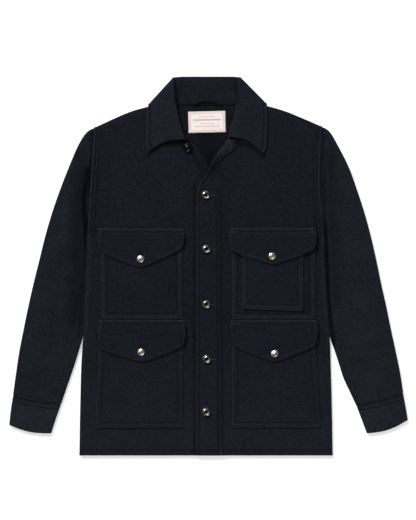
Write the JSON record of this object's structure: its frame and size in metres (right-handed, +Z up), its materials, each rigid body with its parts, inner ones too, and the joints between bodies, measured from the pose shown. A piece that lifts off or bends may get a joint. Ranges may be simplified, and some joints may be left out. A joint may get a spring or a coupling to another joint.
{
  "type": "wool mackinaw jacket laid flat",
  "caption": "Hip-length wool mackinaw jacket laid flat on its back, buttoned, with a turned-down collar, long cuffed sleeves and flapped patch pockets.",
  "frame": {"origin": "centre of the bounding box on the surface that the back lies on", "axes": "+Z up out of the chest, +Y towards the collar, +X towards the wearer's left sleeve"},
  "size_m": [0.8462, 0.804, 0.0211],
  "materials": {
    "wool": "heavy napped wool twill, very dark navy",
    "wool_collar": "two plies of the same wool, pressed",
    "nickel": "polished nickel plate",
    "label_cloth": "woven cream label",
    "tape": "folded cotton tape"
  },
  "bodies": {
    "root": {"back": "wool", "front_right": "wool", "front_left": "wool", "sleeve_right": "wool", "sleeve_left": "wool", "cuff_right": "wool", "cuff_left": "wool", "facing_left": "wool", "collar": "wool_collar", "pocket_chest_right": "wool", "pocket_lower_right": "wool", "pocket_chest_left": "wool", "pocket_lower_left": "wool", "pocket_small_left": "wool", "flap_chest_right": "wool", "flap_lower_right": "wool", "flap_chest_left": "wool", "flap_lower_left": "wool", "snap_chest_right": "nickel", "snap_lower_right": "nickel", "snap_chest_left": "nickel", "snap_lower_left": "nickel", "button_collar": "nickel", "button_1": "nickel", "button_2": "nickel", "button_3": "nickel", "button_4": "nickel", "button_5": "nickel", "label": "label_cloth", "hanger_loop": "tape"}
  },
  "joints": []
}
